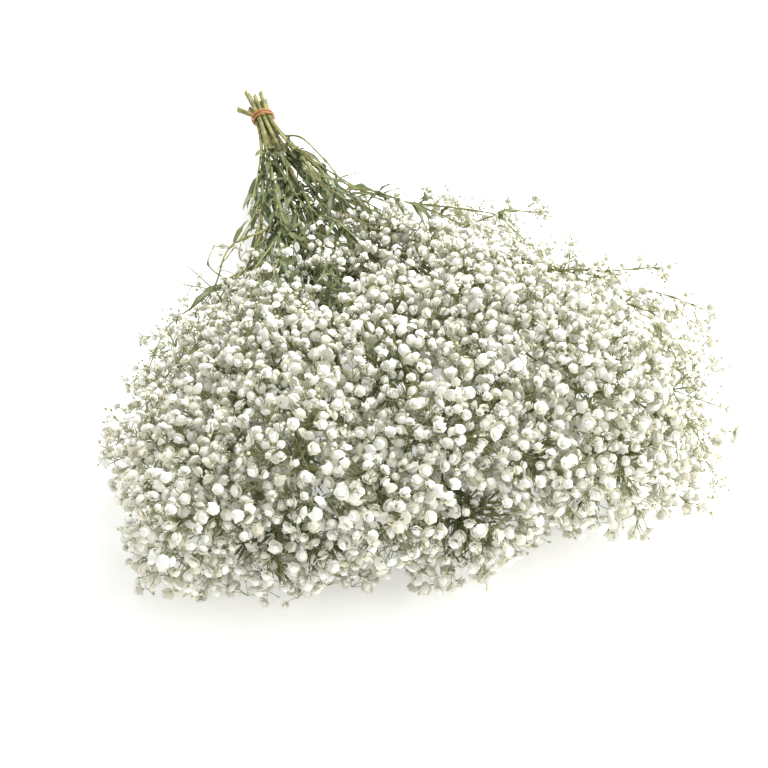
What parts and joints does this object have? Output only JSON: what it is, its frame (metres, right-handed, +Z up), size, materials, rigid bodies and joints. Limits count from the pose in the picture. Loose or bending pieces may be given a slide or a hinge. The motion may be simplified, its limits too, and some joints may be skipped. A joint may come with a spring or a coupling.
{
  "type": "gypsophila bunch",
  "caption": "A tied bunch of cut gypsophila lying down: branching leafy stems held by a rubber band, fanning out into an airy mass of small white double blossoms",
  "frame": {"origin": "on the resting surface, under the middle of the bunch's box", "axes": "+Y from the blossoms to the cut ends, +Z up, +X across the fan, to the right as the cut ends point away"},
  "size_m": [0.374, 0.4926, 0.1292],
  "materials": {
    "stem": "satin",
    "blossom": "matte",
    "band": "satin"
  },
  "bodies": {
    "root": {"band": "band", "spray_01": "blossom", "spray_02": "blossom", "spray_03": "blossom", "spray_04": "blossom", "spray_05": "blossom", "spray_06": "blossom", "spray_07": "blossom", "spray_08": "blossom", "spray_09": "blossom", "spray_10": "blossom", "spray_11": "blossom", "spray_12": "blossom", "spray_13": "blossom", "spray_14": "blossom", "spray_15": "blossom", "spray_16": "blossom", "spray_17": "blossom", "spray_18": "blossom", "spray_19": "blossom", "spray_20": "blossom", "spray_21": "blossom", "spray_22": "blossom", "spray_23": "blossom", "spray_24": "blossom", "spray_25": "blossom", "spray_26": "blossom", "spray_27": "blossom", "spray_28": "blossom", "spray_29": "blossom", "spray_30": "blossom", "spray_31": "blossom", "spray_32": "blossom", "spray_33": "blossom", "spray_34": "blossom", "spray_35": "blossom", "spray_36": "blossom", "spray_37": "blossom", "spray_38": "blossom", "spray_39": "blossom", "spray_40": "blossom", "spray_41": "blossom", "spray_42": "blossom", "spray_43": "blossom", "spray_44": "blossom", "spray_45": "blossom", "spray_46": "blossom", "spray_47": "blossom", "spray_48": "blossom", "stem_01": "stem", "stem_02": "stem", "stem_03": "stem", "stem_04": "stem", "stem_05": "stem", "stem_06": "stem", "stem_07": "stem", "stem_08": "stem", "stem_09": "stem", "stem_10": "stem"}
  },
  "joints": []
}
